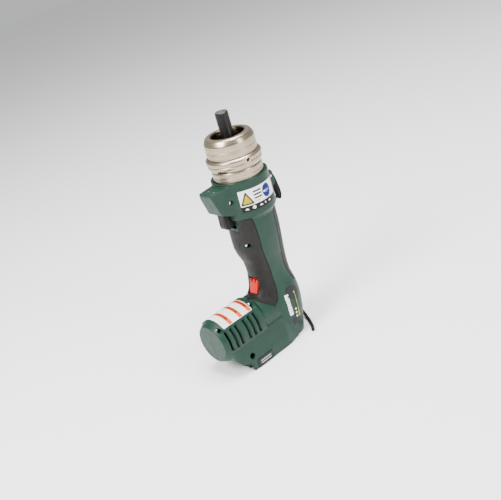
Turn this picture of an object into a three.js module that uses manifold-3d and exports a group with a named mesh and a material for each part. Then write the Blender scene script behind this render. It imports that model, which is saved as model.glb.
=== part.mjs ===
// Battery-hydraulic knockout punch driver: an upright hydraulic handle with a steel pulling head on top
// and a lying electric motor at its foot. Millimetres, +Z up along the handle, +X towards the motor and
// trigger, +Y to the operator's left. The origin is on the handle's axis in the plane of the foot's base.
import * as THREE from "three";
import { mergeVertices } from "three/addons/utils/BufferGeometryUtils.js";
import Module from "manifold-3d";

const wasm = await Module();
wasm.setup();

// ---- Driving dimensions ----
const WALL = 3; // moulded housing wall
const COARSE = 0.02; // how far a facet may move when slivers are tidied away
const GAP = 0.3; // clearance between separate pieces
const SEAM = 0.6; // the shells part just left of the middle, so that the origin lies on the right one
const SKIN = 1.6; // depth of the rubber overmould
const COLLAR = { r: 39.6, low: 203, rim: 253, bore: 36 };
const MOTOR = { z: 52, r: 33.3, neckR: 30.5, neck: 47, back: 0, rim: 113, face: 124, faceR: 26.7 };
const FOOT = { halfWidth: 38, sideTop: 14.5, saddleHalf: 31, saddleZ: 44, back: 24, front: 93 };
const GUARD = { front: 64, half: 15, low: 217, top: 249.5 };
const NECK_R = 35;
const CYLINDER_BORE = 23;
const PISTON = { r: 22.6, low: 238, top: 252, rod: 15, rodTop: 301 };
const STROKE = 22;
const STUD = { r: 9.1, base: 9.4, low: 262, baseTop: 300, top: 341 };
const FLANGE = { r: 38.3, low: 267, top: 284 };
const SLEEVE = { r: 34.6, low: 284.4, shoulder: 303, top: 311, lipR: 29.5, holeR: 22.9 };
const SHAFT_R = 3;
const TEETH = { sun: 12, planet: 18, ring: 48, module: 1 };
const GEAR = { back: 24, front: 32 };
const ECCENTRIC = 1.5;
const SLOT_X = [65, 74.5, 84, 98.5, 107.5, 116.5]; // vent slots, front faces
const SLOT = { width: 3.4, low: -12, high: 41 }; // slot width, and the angles that it spans round the motor

// Handle outline at heights z: front and back reach along X, and half width along Y.
const STATIONS = [
  { z: 0, front: 30, back: 28, half: 30 },
  { z: 12, front: 30, back: 29.5, half: 32 },
  { z: 36, front: 31, back: 33.5, half: 35.5 },
  { z: 60, front: 31, back: 35.7, half: 36 },
  { z: 78, front: 28, back: 35, half: 33 },
  { z: 94, front: 26.2, back: 31.5, half: 29 },
  { z: 110, front: 26.3, back: 31.2, half: 27.5 },
  { z: 126, front: 28, back: 32, half: 28.2 },
  { z: 141, front: 33, back: 32.5, half: 30.8 },
  { z: 152, front: 35, back: 33, half: 32.3 },
  { z: 172, front: 34.2, back: 34, half: 33.5 },
  { z: 206, front: 34.2, back: 34.2, half: 34 },
];
const HANDLE_TOP = 206;

// The rubber's apron, which spreads from the handle's front on to the motor's neck.
const APRON = [
  { z: 68, front: 42, back: 0, half: 21 },
  { z: 77, front: 41.5, back: 0, half: 19.5 },
  { z: 81, front: 38, back: 0, half: 19 },
  { z: 84.5, front: 33.4, back: 0, half: 20 },
  { z: 89, front: 30, back: 0, half: 21.5 },
  { z: 96, front: 27.4, back: 0, half: 22.5 },
  { z: 104, front: 26, back: 0, half: 22.5 },
];

// ---- Solids: three.js makes the shapes, manifold-3d joins and cuts them ----
function solid(geometry) {
  const bare = geometry.clone();
  bare.deleteAttribute("normal");
  bare.deleteAttribute("uv");
  const merged = mergeVertices(bare, 1e-3);
  return new wasm.Manifold(
    new wasm.Mesh({
      numProp: 3,
      vertProperties: merged.attributes.position.array,
      triVerts: new Uint32Array(merged.index.array),
    }),
  );
}

function geometryOf(body) {
  const mesh = body.asOriginal().simplify(COARSE).getMesh();
  const geometry = new THREE.BufferGeometry();
  geometry.setAttribute("position", new THREE.BufferAttribute(mesh.vertProperties, 3));
  geometry.setIndex(new THREE.BufferAttribute(mesh.triVerts, 1));
  geometry.computeVertexNormals();
  return geometry;
}

const join = (first, ...rest) => rest.reduce((sum, next) => sum.add(next), first);
const cut = (first, ...rest) => rest.reduce((left, next) => left.subtract(next), first);

function box(x0, x1, y0, y1, z0, z1) {
  const made = new THREE.BoxGeometry(x1 - x0, y1 - y0, z1 - z0);
  return solid(made.translate((x0 + x1) / 2, (y0 + y1) / 2, (z0 + z1) / 2));
}

function lathe(points, segments = 40) {
  const profile = points.map(([r, h]) => new THREE.Vector2(r, h));
  return new THREE.LatheGeometry([...profile, profile[0]], segments);
}

// A turned piece about the Z axis, from a closed profile of [radius, height] that runs anticlockwise.
const turnedZ = (points, segments) => solid(lathe(points, segments).rotateX(Math.PI / 2));

// A turned piece about the motor's axis, from a closed profile of [radius, x].
const turnedX = (points, segments) =>
  solid(lathe(points, segments).rotateZ(-Math.PI / 2).translate(0, 0, MOTOR.z));

const tube = (inner, outer, low, high) => [[inner, low], [outer, low], [outer, high], [inner, high]];

function rod(radius, low, high, segments = 24) {
  const made = new THREE.CylinderGeometry(radius, radius, high - low, segments);
  return made.translate(0, (low + high) / 2, 0);
}
const rodZ = (radius, low, high, x = 0, y = 0, segments = 24) =>
  solid(rod(radius, low, high, segments).rotateX(Math.PI / 2).translate(x, y, 0));
const rodX = (radius, low, high, y = 0, z = MOTOR.z, segments = 24) =>
  solid(rod(radius, low, high, segments).rotateZ(-Math.PI / 2).translate(0, y, z));
const rodY = (radius, low, high, x, z, segments = 12) =>
  solid(rod(radius, low, high, segments).translate(x, 0, z));

function outline(points) {
  const shape = new THREE.Shape();
  points.forEach(([a, b], i) => (i ? shape.lineTo(a, b) : shape.moveTo(a, b)));
  return shape.closePath();
}

// A side outline of [x, z] points, given thickness from y0 to y1.
function slabY(points, y0, y1) {
  const made = new THREE.ExtrudeGeometry(outline(points), { depth: y1 - y0, bevelEnabled: false });
  return solid(made.rotateX(Math.PI / 2).translate(0, y1, 0));
}

// A cross outline of [y, z] points, given length from x0 to x1.
function slabX(points, x0, x1) {
  const made = new THREE.ExtrudeGeometry(outline(points), { depth: x1 - x0, bevelEnabled: false });
  return solid(made.rotateX(Math.PI / 2).rotateZ(Math.PI / 2).translate(x0, 0, 0));
}

// A plan outline of [x, y] points, given height from z0 to z1.
function slabZ(points, z0, z1) {
  const made = new THREE.ExtrudeGeometry(outline(points), { depth: z1 - z0, bevelEnabled: false });
  return solid(made.translate(0, 0, z0));
}

// An outline's reach at a height, on a smooth curve through its stations.
function reach(stations, z, key) {
  const last = stations.length - 1;
  const above = stations.findIndex((s) => s.z > z);
  const i = Math.min(last - 1, Math.max(0, above < 0 ? last - 1 : above - 1));
  const slope = (k) => {
    const a = stations[Math.max(0, k - 1)];
    const b = stations[Math.min(last, k + 1)];
    return (b[key] - a[key]) / (b.z - a.z);
  };
  const [from, to] = [stations[i], stations[i + 1]];
  const span = to.z - from.z;
  const t = Math.min(1, Math.max(0, (z - from.z) / span));
  const rise = t * t * (3 - 2 * t);
  const bendIn = t * (1 - t) * (1 - t) * span * slope(i);
  const bendOut = t * t * (t - 1) * span * slope(i + 1);
  return from[key] + (to[key] - from[key]) * rise + bendIn + bendOut;
}

// A cylinder whose rings take the stations' outline, drawn in by an inset.
function loft(stations, inset, low, high, sides, steps) {
  const made = new THREE.CylinderGeometry(1, 1, high - low, sides, steps);
  made.rotateX(Math.PI / 2).translate(0, 0, (low + high) / 2);
  const place = made.attributes.position;
  const roundness = 2 / 2.35;
  for (let i = 0; i < place.count; i++) {
    const z = place.getZ(i);
    const front = reach(stations, z, "front") - inset;
    const back = reach(stations, z, "back") - inset;
    const bend = (v) => Math.sign(v) * Math.abs(v) ** roundness;
    const x = bend(place.getX(i)) * ((front + back) / 2) + (front - back) / 2;
    place.setXY(i, x, bend(place.getY(i)) * (reach(stations, z, "half") - inset));
  }
  return solid(made);
}
const handle = (inset, low, high, sides = 20, steps = 9) => loft(STATIONS, inset, low, high, sides, steps);

// ---- Housing shells ----
function footSolid(inset) {
  const { halfWidth, sideTop, saddleHalf, saddleZ, back, front } = FOOT;
  const side = halfWidth - inset;
  const waist = saddleHalf - inset;
  const cross = slabX(
    [[-side, inset], [side, inset], [side, sideTop - inset], [waist, saddleZ], [-waist, saddleZ], [-side, sideTop - inset]],
    back, 120,
  );
  const chin = [[0, 0], [0, 11.5], [2, 13.5], [10, 15.5], [16, 18.5], [20.5, 24], [23, 32], [23.5, 60]];
  const profile = [[back, 60], [back, 0], ...chin.map(([x, z]) => [front + x - inset, z])];
  const bow = [[2.5, 37.6], [8, 36.3], [14, 35], [19, 33.6], [22, 30], [24, 20], [25, 0]];
  const nose = bow.map(([x, y]) => [front + x - inset, y - inset]);
  const plan = slabZ([[back, halfWidth], ...nose, ...nose.slice(0, -1).reverse().map(([x, y]) => [x, -y]),
    [back, -halfWidth]], 0, 60);
  return cross.intersect(slabY(profile, -halfWidth, halfWidth)).intersect(plan);
}

// What widens the rear housing's base to meet the foot's flanks.
function heel(inset) {
  const rings = [
    { z: inset, plan: [[0, 32], [8, 34], [14, 36], [24.5, 38]] },
    { z: 14.5, plan: [[0, 31], [8, 32.3], [14, 34.6], [24.5, 38]] },
    { z: 44, plan: [[6, 27], [14, 29.5], [24.5, 31]] },
  ];
  const corners = rings.flatMap(({ z, plan }) =>
    plan.flatMap(([x, y]) => [[x, y - inset, z], [x, inset - y, z]]),
  );
  return wasm.Manifold.hull(corners);
}

function guardSolid(inset) {
  const front = GUARD.front - inset;
  const half = GUARD.half - inset;
  const plan = [[20, -24 + inset], [38, -half - 2], [54, -half], [front - 1.5, -half + 1.5], [front, -half + 4],
    [front, half - 4], [front - 1.5, half - 1.5], [54, half], [38, half + 2], [20, 24 - inset]];
  const side = [[20, GUARD.low - 9 + inset], [44, GUARD.low - 6 + inset], [56 - inset, GUARD.low + inset],
    [GUARD.front + 1 - inset, GUARD.top - inset], [20, GUARD.top - inset]];
  return slabZ(plan, 200, 252).intersect(slabY(side, -30, 30));
}

function housingOutside() {
  const { r, neckR, neck, back, rim, face, faceR } = MOTOR;
  const motor = turnedX([[0, back], [neckR, back], [neckR, neck], [r, neck + 4], [r, rim], [faceR + 1, face - 1],
    [faceR, face], [0, face]], 30);
  const collar = turnedZ([[0, 196], [34.6, 196], [COLLAR.r, COLLAR.low], [COLLAR.r, COLLAR.rim], [0, COLLAR.rim]], 30);
  const cheek = [[-34, 212], [-47, 214], [-50.5, 219], [-50.5, 234], [-47, 239], [-34, 241]];
  const lug = [slabY(cheek, 4.6, 8.6), slabY(cheek, -8.6, -4.6)];
  return join(gripCore(0, 0, HANDLE_TOP), motor, collar, footSolid(0), heel(0), guardSolid(0), ...lug);
}

function housingInside() {
  const { r, neckR, neck, rim, face, faceR } = MOTOR;
  const handleSpace = handle(WALL, WALL, HANDLE_TOP);
  const motorSpace = turnedX([[0, 4], [neckR - WALL + 0.1, 4], [neckR - WALL + 0.1, neck + 3], [r - WALL, neck + 4],
    [r - WALL, rim - 1.5], [faceR - 1.6, face - 5.5], [0, face - 5.5]], 20);
  const collarSpace = rodZ(COLLAR.bore, 200, 260, 0, 0, 20);
  const footSpace = footSolid(WALL).intersect(box(FOOT.back + WALL, 100, -60, 60, 8, 60));
  return join(handleSpace, motorSpace, collarSpace, footSpace, guardSolid(WALL));
}

// Curved vent slots on one side of the motor, cut square to its axis.
function ventSlots(side) {
  const turn = [SLOT.low, SLOT.high].map(THREE.MathUtils.degToRad);
  const wedge = [[8, 0], ...turn.map((angle) => [47 * Math.cos(angle), 47 * Math.sin(angle)])];
  const slots = SLOT_X.map((x) =>
    slabX(wedge.map(([y, h]) => [y, h + MOTOR.z]), x - SLOT.width, x),
  );
  const left = join(...slots);
  return side > 0 ? left : left.mirror([0, 1, 0]);
}

// Where the shell's screws go in from the left, as [x, z].
const SCREWS = [[38, 228], [30.5, 160], [55.9, 80.2], [118.4, 75.4], [90.4, 22.2]];
const SCREW = { r: 2.5, pocket: [3.1, 3.1, 3.1, 3.3, 4.5], headAt: [13.2, 12, 12.6, 11.4, 26] };

function screwPockets() {
  return SCREWS.map(([x, z], i) => rodY(SCREW.pocket[i], SCREW.headAt[i] - 1, 60, x, z));
}
const screwHoles = (from, to) => SCREWS.map(([x, z]) => rodY(1.9, from, to, x, z, 8));

// Posts round the screws, kept clear of what the housing holds.
function bosses() {
  const posts = join(...SCREWS.map(([x, z], i) => rodY(4.6, -9, SCREW.headAt[i], x, z, 8)));
  return cut(posts, rodX(27.2, 10, 110, 0, MOTOR.z, 20), rodX(22, 100, 120, 0, MOTOR.z, 20), rodZ(29.5, 100, 196),
    rodZ(35.8, 196, 260, 0, 0, 24));
}

// Ribs inside the shells that seat the bearings, the ring gear and the motor can.
function bearingSeats() {
  return join(disc(9.5, 30, -17, -12.5), disc(14.6, 29, 10.5, 16.5), disc(27.5, 29.2, 23.5, 32.5, 24),
    disc(25.9, 31, 57, 60), disc(25.9, 31, 103, 106));
}

// Side outlines of the rubber grips, as [x, z].
const FRONT_GRIP = [[60, 199], [22, 199], [20, 193], [18.7, 168], [19.3, 150], [15, 131], [12.6, 121], [12.2, 108],
  [12.2, 98], [13, 89], [14.5, 80], [18.5, 67], [24.5, 62], [27, 64.5], [35, 72], [41.5, 77], [44, 82], [60, 82]];
const REAR_GRIP = [[-60, 200], [-15, 200], [-12.6, 176], [-12.2, 150], [-12.4, 125], [-13, 107], [-16, 95], [-20, 83],
  [-24, 80], [-60, 80]];
const TRIGGER_NOTCH = [[20, 181], [60, 181], [60, 205], [20, 205]];

function gripArea(points, clearance) {
  const slab = slabY(points, -60, 60);
  const notch = slabY(TRIGGER_NOTCH, -9 - clearance, 9 + clearance);
  const { x, z } = LEVER_PIN;
  return slab.subtract(notch).subtract(box(12, 36.4, -8.9 - clearance, 8.9 + clearance, 79.4, z + 6))
    .subtract(box(12, 60, -8.9 - clearance, 8.9 + clearance, 84, z + 6))
    .subtract(box(12, 60, -10.9 - clearance, 10.9 + clearance, z - 3.8, z + 3.8));
}

// What the rubber is bonded to, drawn in by a depth: the handle, and its spread on to the motor's neck.
function gripCore(depth, low, high) {
  const neck = rodX(MOTOR.neckR - depth, 0, MOTOR.neck, 0, MOTOR.z, 30);
  return join(handle(depth, low, high), neck, loft(APRON, depth, 68, 104, 16, 7));
}

function gripSkin(points, side) {
  const half = side > 0 ? box(-80, 80, SEAM + GAP, 80, 40, 260) : box(-80, 80, -80, SEAM, 40, 260);
  const skin = gripArea(points, GAP).intersect(gripCore(0, 55, 202)).intersect(half);
  const whole = cut(skin, gripCore(SKIN, 45, 206), rodY(SCREW.pocket[1] + GAP, 6, 40, ...SCREWS[1]));
  return whole.decompose().sort((a, b) => b.volume() - a.volume())[0];
}

function shell(side) {
  const batteryWindow = box(34, 84, -17, 17, -5, 12);
  const railGrooves = [-1, 1].map((s) => box(40, 120, s < 0 ? -31.5 : 26, s < 0 ? -26 : 31.5, -5, 5.5));
  const triggerSlot = box(26, 57, -7.1, 7.1, 186, 217);
  const switchPocket = box(40, 55, -6.6, 6.6, 212, 226);
  const leverSlot = box(12, 36, -8.6, 8.6, 80, LEVER_PIN.z + 6);
  const leverHole = rodY(LEVER_PIN.r + GAP, -10.2, 10.2, LEVER_PIN.x, LEVER_PIN.z);
  const { x, z } = LEVER_PIN;
  const ears = join(...[-10.6, 7.3].map((y) => box(x - 4.1, x + 1.2, y, y + 3.3, z - 3.4, z + 3.4)));
  const gripBed = (points) => cut(gripArea(points, -GAP), gripCore(SKIN + GAP, 45, 206));
  const pinHole = rodY(STRAP.pinR + GAP, -20, 20, STRAP.x, STRAP.pinZ);
  const ledHoles = [-6, 6].map((y) => rodZ(2.6, 240, 260, 52, y, 16));
  const outside = housingOutside();
  const drawn = join(cut(outside, housingInside()), bosses().intersect(outside), bearingSeats().intersect(outside));
  const beds = [gripBed(FRONT_GRIP), gripBed(REAR_GRIP)];
  const opened = cut(join(cut(drawn, ...beds), ears), batteryWindow, ...railGrooves, triggerSlot, switchPocket,
    leverSlot, leverHole, pinHole, ...ledHoles, ventSlots(side), ...screwHoles(-20, 60), ...screwPockets());
  const half = side > 0 ? box(-80, 160, SEAM + GAP, 80, -5, 300) : box(-80, 160, -80, SEAM, -5, 300);
  const pieces = opened.intersect(half).decompose();
  return pieces.sort((a, b) => b.volume() - a.volume())[0];
}

// ---- Hydraulic head and ram ----
function cylinderBody() {
  return turnedZ([[3, 196], [27, 196], [27, 210], [NECK_R, 213], [NECK_R, 266.6], [CYLINDER_BORE, 266.6],
    [CYLINDER_BORE, 206], [3, 206]], 24);
}

function flangeRing() {
  const { r, low, top } = FLANGE;
  const ring = turnedZ([[15.6, low], [r - 3, low], [r - 1, low + 4], [r - 1, low + 8], [r, low + 9], [r, top - 2.4],
    [r - 2.4, top], [15.6, top]], 28);
  const turn = THREE.MathUtils.degToRad(80);
  const spanner = solid(rod(2, 30, 60, 12).rotateZ(-Math.PI / 2).rotateZ(turn).translate(0, 0, 278.2));
  return cut(ring, spanner);
}

function headSleeve() {
  const { r, low, shoulder, top, lipR, holeR } = SLEEVE;
  return turnedZ([[24.5, low], [r, low], [r, shoulder], [r - 2.4, top - 2.4], [lipR, top], [holeR, top],
    [holeR, top - 4], [24.5, top - 5]], 28);
}

function ram() {
  return turnedZ([[0, PISTON.low], [PISTON.r, PISTON.low], [PISTON.r, PISTON.low + 4],
    [PISTON.r - 2.2, PISTON.low + 4], [PISTON.r - 2.2, PISTON.low + 8], [PISTON.r, PISTON.low + 8], [PISTON.r, PISTON.top],
    [PISTON.rod, PISTON.top], [PISTON.rod, PISTON.rodTop], [STUD.base + 0.4, PISTON.rodTop],
    [STUD.base + 0.4, STUD.low - 1], [0, STUD.low - 1]], 20);
}

const pistonSeal = () =>
  turnedZ(tube(PISTON.r - 2.2 + GAP, PISTON.r + 0.1, PISTON.low + 4.3, PISTON.low + 7.7), 20);

function drawStud() {
  return turnedZ([[0, STUD.low], [STUD.base, STUD.low], [STUD.base, STUD.baseTop], [STUD.r, STUD.baseTop + 1],
    [STUD.r, STUD.top - 1], [STUD.r - 1, STUD.top], [0, STUD.top]], 18);
}

function returnSpring() {
  const turns = 4;
  const radius = 17;
  const wire = 1;
  const low = 207.4;
  const high = 236.6;
  class Helix extends THREE.Curve {
    getPoint(t, target = new THREE.Vector3()) {
      const a = t * turns * 2 * Math.PI;
      return target.set(radius * Math.cos(a), radius * Math.sin(a), low + (high - low) * t);
    }
  }
  const section = new THREE.Shape().absarc(0, 0, wire, 0, 2 * Math.PI);
  const options = { extrudePath: new Helix(), steps: 36, curveSegments: 2, bevelEnabled: false };
  return solid(new THREE.ExtrudeGeometry(section, options));
}

// ---- Pump ----
const RELIEF_Z = 92;

function pumpBlock() {
  const block = turnedZ([[5, 84], [17, 84], [18.5, 88], [18.5, 112], [21.5, 115], [21.5, 150], [6, 150], [6, 195.6],
    [3, 195.6], [3, 146], [5, 146]], 16);
  const valveBore = rodX(2.2, 4, 40, 0, RELIEF_Z, 10);
  return cut(block, valveBore);
}

const plunger = () => turnedZ([[0, 65], [7, 65], [7, 68], [4.6, 68], [4.6, 114], [0, 114]], 14);

function oilReservoir() {
  return turnedZ([[8, 152], [27, 152], [28, 156], [28, 186], [26.5, 191], [8, 191]], 18);
}

// ---- Motor and gears ----
// A spur gear outline of straight-sided teeth, with the phase of its first tooth in radians.
function gearOutline(teeth, phase, internal = false) {
  const pitch = (teeth * TEETH.module) / 2;
  const add = internal ? -0.85 : 0.85;
  const ded = internal ? 1.2 : -1.2;
  const half = [0.72 / pitch, 0.3 / pitch];
  const points = [];
  for (let k = 0; k < teeth; k++) {
    const a = phase + (2 * Math.PI * k) / teeth;
    for (const [turn, r] of [[-half[0], pitch + ded], [-half[1], pitch + add], [half[1], pitch + add], [half[0], pitch + ded]])
      points.push([r * Math.cos(a + turn), r * Math.sin(a + turn)]);
  }
  return points;
}

const gearSolid = (points, x0, x1, y = 0, z = MOTOR.z) =>
  slabX(points.map(([a, b]) => [a + y, b + z]), x0, x1);

const ORBIT = ((TEETH.sun + TEETH.planet) * TEETH.module) / 2;
const PLANET_ANGLES = [0, 1, 2].map((k) => Math.PI / 2 + (k * 2 * Math.PI) / 3);

// The phase that puts a planet's gap against the sun's tooth, whose own phase is zero.
function planetPhase(angle) {
  const onSun = (angle * TEETH.sun) / (2 * Math.PI);
  return angle + Math.PI - ((0.5 - onSun) * 2 * Math.PI) / TEETH.planet;
}

function ringPhase() {
  const onPlanet = ((PLANET_ANGLES[0] - planetPhase(PLANET_ANGLES[0])) * TEETH.planet) / (2 * Math.PI);
  return PLANET_ANGLES[0] - ((onPlanet + 0.5) * 2 * Math.PI) / TEETH.ring;
}

function planet(angle) {
  const y = ORBIT * Math.cos(angle);
  const z = MOTOR.z + ORBIT * Math.sin(angle);
  return cut(gearSolid(gearOutline(TEETH.planet, planetPhase(angle)), GEAR.back, GEAR.front, y, z),
    rodX(3, 0, 60, y, z, 16));
}

function sunPinion() {
  return cut(gearSolid(gearOutline(TEETH.sun, 0), GEAR.back - 0.5, GEAR.front + 6), rodX(SHAFT_R + GAP, 0, 60, 0, MOTOR.z, 16));
}

function ringGear() {
  return cut(rodX(27, GEAR.back - 1, GEAR.front + 1, 0, MOTOR.z, 24),
    gearSolid(gearOutline(TEETH.ring, ringPhase(), true), 0, 60));
}

function planetCarrier() {
  const disc = rodX(19, GEAR.back - 5, GEAR.back - 1.5, 0, MOTOR.z, 16);
  const pins = PLANET_ANGLES.map((a) =>
    rodX(2.6, GEAR.back - 3, GEAR.front, ORBIT * Math.cos(a), MOTOR.z + ORBIT * Math.sin(a), 8),
  );
  const journal = rodX(6.5, 7.2, GEAR.back - 4, 0, MOTOR.z, 14);
  const crank = rodX(6, -7.5, 7.3, 0, MOTOR.z + ECCENTRIC, 14);
  const tail = rodX(4, -18, -7.4, 0, MOTOR.z, 12);
  return join(disc, ...pins, journal, crank, tail);
}

const eccentricBearing = () =>
  cut(rodX(11, -6.5, 6.5, 0, MOTOR.z + ECCENTRIC, 18), rodX(6.5, -10, 10, 0, MOTOR.z + ECCENTRIC, 14));

const disc = (inner, outer, x0, x1, sides = 16) => turnedX(tube(inner, outer, x0, x1), sides);

function coolingFan() {
  const hub = disc(SHAFT_R + GAP, 8, 110, 117, 16);
  const blades = [];
  for (let k = 0; k < 7; k++) {
    const blade = new THREE.BoxGeometry(5.4, 13, 1.2).rotateY(0.6).translate(113.5, 13.6, 0);
    blades.push(solid(blade.rotateX((k * 2 * Math.PI) / 7).translate(0, 0, MOTOR.z)));
  }
  return join(hub, ...blades);
}

// ---- Controls ----
function trigger() {
  const side = [[33.6, 192], [44, 190.5], [49, 192], [50.3, 195.5], [50, 201], [49.6, 213.5], [41.5, 213.5], [41.5, 208],
    [33.6, 205]];
  return slabY(side, -6.5, 6.5);
}

const LEVER_PIN = { x: 23.4, z: 97.6, r: 1.4 };

function releaseLever() {
  const side = [[20.6, 94.6], [20.6, 99.4], [22, 100.9], [25.6, 101.6], [27.2, 100.4], [29.6, 94], [33, 85.4], [34.2, 82.9],
    [33.4, 81.9], [30, 82], [27, 85.4], [24.4, 90]];
  const notches = [-3.4, 3.4].map((y) => box(25.4, 36, y - 1.1, y + 1.1, 98, 103));
  return cut(slabY(side, -7, 7), ...notches, rodY(LEVER_PIN.r + GAP, -10, 10, LEVER_PIN.x, LEVER_PIN.z));
}

function screw(index) {
  const [x, z] = SCREWS[index];
  const at = SCREW.headAt[index];
  const head = rodY(SCREW.r, at - 0.7, at + 2, x, z, 14);
  const shank = rodY(1.5, -7, at - 0.6, x, z, 10);
  const recess = rodY(1.2, at + 0.8, at + 5, x, z, 6);
  return cut(join(head, shank), recess);
}

// ---- Labels ----
function arcBand(r, thick, from, to, steps) {
  const outer = [];
  const inner = [];
  for (let k = 0; k <= steps; k++) {
    const a = THREE.MathUtils.degToRad(from + ((to - from) * k) / steps);
    outer.push([(r + thick) * Math.cos(a), (r + thick) * Math.sin(a)]);
    inner.unshift([r * Math.cos(a), r * Math.sin(a)]);
  }
  return [...outer, ...inner];
}

const collarLabel = () => slabZ(arcBand(COLLAR.r + GAP, 0.4, 40, 124, 12), 211, 241);
const motorLabel = () =>
  slabX(arcBand(MOTOR.r + GAP, 0.4, 48, 132, 12).map(([y, h]) => [y, h + MOTOR.z]), 59.8, 112.8);
const footPlate = () => box(57, 86, FOOT.halfWidth + GAP, FOOT.halfWidth + GAP + 0.4, 1.5, 13.5);

// A film on the left of the rear housing, as thick as the others.
function sideBadge() {
  const film = cut(handle(-GAP - 0.4, 0, 206, 36, 24), handle(-GAP, -1, 207, 36, 24), heel(-GAP));
  return film.intersect(box(-18, 5, 12, 60, 19, 80)).decompose().sort((a, b) => b.volume() - a.volume())[0];
}

// ---- Battery interface and electronics ----
function terminalBlock() {
  const block = box(38, 80, -15.5, 15.5, 1.5, 14);
  const slots = [-9, 0, 9].map((y) => box(46, 100, y - 2.4, y + 2.4, -2, 9));
  return cut(block, ...slots);
}

// ---- Lanyard ----
const STRAP = { x: -45.5, pinZ: 229, pinR: 2, cordR: 2.5 };
const STRAP_ROUTE = [[-52, 0, 193.8], [-49.2, -2.6, 190.6], [-46.8, -7, 185], [-45.8, -11.5, 176.5], [-46, -14.8, 165],
  [-46, -16, 150], [-44, -16, 128], [-42, -15.5, 105], [-41, -12.5, 75], [-40.5, -8, 48], [-40.5, -5, 26], [-41, 1, 12],
  [-39.5, 9, 5], [-36, 17, 2.8], [-31.5, 25, 2.7], [-26.5, 33, 2.7], [-21.5, 40, 2.7], [-16, 46, 2.7]];

// The lanyard's sewn webbing loop: round the pin, then down to where the cord leaves it.
function strapLoop() {
  const side = [[-41.4, 226], [-41.4, 232], [-44, 236.5], [-48, 238], [-52, 235], [-56.2, 224], [-58.8, 212],
    [-60.6, 200.6], [-60, 193], [-57.8, 188.6], [-54.6, 189], [-53.4, 199], [-52.8, 208], [-50.8, 217], [-48.5, 223.4],
    [-45, 224.4]];
  return cut(slabY(side, -3.4, 3.4), rodY(STRAP.pinR + GAP, -9, 9, STRAP.x, STRAP.pinZ));
}

function handStrap() {
  const points = STRAP_ROUTE.map(([x, y, z]) => new THREE.Vector3(x, y, z));
  const section = new THREE.Shape().absarc(0, 0, STRAP.cordR, 0, 2 * Math.PI);
  const options = { extrudePath: new THREE.CatmullRomCurve3(points), steps: 30, curveSegments: 4, bevelEnabled: false };
  return solid(new THREE.ExtrudeGeometry(section, options));
}

// ---- Assembly ----
const paint = {
  green: { color: 0x274a38, roughness: 0.55, metalness: 0 },
  rubber: { color: 0x2b2a29, roughness: 0.85, metalness: 0 },
  black: { color: 0x1c1b1b, roughness: 0.5, metalness: 0 },
  red: { color: 0xd8402c, roughness: 0.45, metalness: 0 },
  nickel: { color: 0xb9b2a2, roughness: 0.32, metalness: 1 },
  steel: { color: 0x8e8f90, roughness: 0.4, metalness: 1 },
  oxide: { color: 0x1b1917, roughness: 0.45, metalness: 0.8 },
  copper: { color: 0xa8682f, roughness: 0.4, metalness: 1 },
  label: { color: 0xf0eee8, roughness: 0.5, metalness: 0 },
  plate: { color: 0x3a3c3d, roughness: 0.5, metalness: 0 },
  lens: { color: 0xe8eef0, roughness: 0.1, metalness: 0 },
  board: { color: 0x1f5a38, roughness: 0.5, metalness: 0 },
};

const part = new THREE.Group();
function add(name, body, finish) {
  const mesh = new THREE.Mesh(geometryOf(body), new THREE.MeshStandardMaterial(paint[finish]));
  mesh.name = name;
  part.add(mesh);
}

add("left_shell", shell(1), "green");
add("right_shell", shell(-1), "green");
add("left_front_grip", gripSkin(FRONT_GRIP, 1), "rubber");
add("right_front_grip", gripSkin(FRONT_GRIP, -1), "rubber");
add("left_rear_grip", gripSkin(REAR_GRIP, 1), "rubber");
add("right_rear_grip", gripSkin(REAR_GRIP, -1), "rubber");
SCREWS.forEach((_, i) => add(`shell_screw_${i + 1}`, screw(i), "steel"));
add("trigger", trigger(), "black");
add("release_lever", releaseLever(), "red");
add("lever_pin", rodY(LEVER_PIN.r, -9.9, 9.9, LEVER_PIN.x, LEVER_PIN.z), "steel");
[-6, 6].forEach((y, i) => add(`work_light_lens_${i + 1}`, rodZ(2.3, 244, 249.2, 52, y, 16), "lens"));
add("trigger_switch", box(45, 52.8, -6, 6, 214.2, 236), "black");
add("cylinder_body", cylinderBody(), "nickel");
add("flange_ring", flangeRing(), "nickel");
add("head_sleeve", headSleeve(), "nickel");
add("ram_piston", ram(), "steel");
add("piston_seal", pistonSeal(), "rubber");
add("draw_stud", drawStud(), "oxide");
add("ram_return_spring", returnSpring(), "steel");
add("pump_block", pumpBlock(), "steel");
add("pump_plunger", plunger(), "steel");
add("oil_reservoir", oilReservoir(), "rubber");
add("relief_valve_pin", rodX(1.8, 8, 20.9, 0, RELIEF_Z, 10), "steel");
add("motor_can", disc(23, 25, 50, 106, 20), "steel");
add("motor_drive_bell", disc(8.5, 25, 45, 49.6, 20), "steel");
add("motor_brush_bell", disc(8.5, 25, 106.4, 109, 20), "black");
add("motor_drive_bearing", disc(SHAFT_R + GAP, 8, 45.3, 49.3, 16), "steel");
add("motor_brush_bearing", disc(SHAFT_R + GAP, 8, 106.5, 108.9, 16), "steel");
add("motor_shaft", rodX(SHAFT_R, GEAR.back, 118, 0, MOTOR.z, 20), "steel");
add("armature", disc(SHAFT_R + GAP, 21, 54, 92, 16), "copper");
add("commutator", disc(SHAFT_R + GAP, 10, 94, 104, 16), "copper");
add("cooling_fan", coolingFan(), "black");
add("sun_pinion", sunPinion(), "steel");
PLANET_ANGLES.forEach((angle, i) => add(`planet_gear_${i + 1}`, planet(angle), "steel"));
add("ring_gear", ringGear(), "steel");
add("planet_carrier", planetCarrier(), "steel");
add("eccentric_bearing", eccentricBearing(), "steel");
add("tail_bearing", disc(4.3, 9, -17.5, -12, 16), "steel");
add("carrier_bearing", disc(6.8, 14, 10, 17, 16), "steel");
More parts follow.
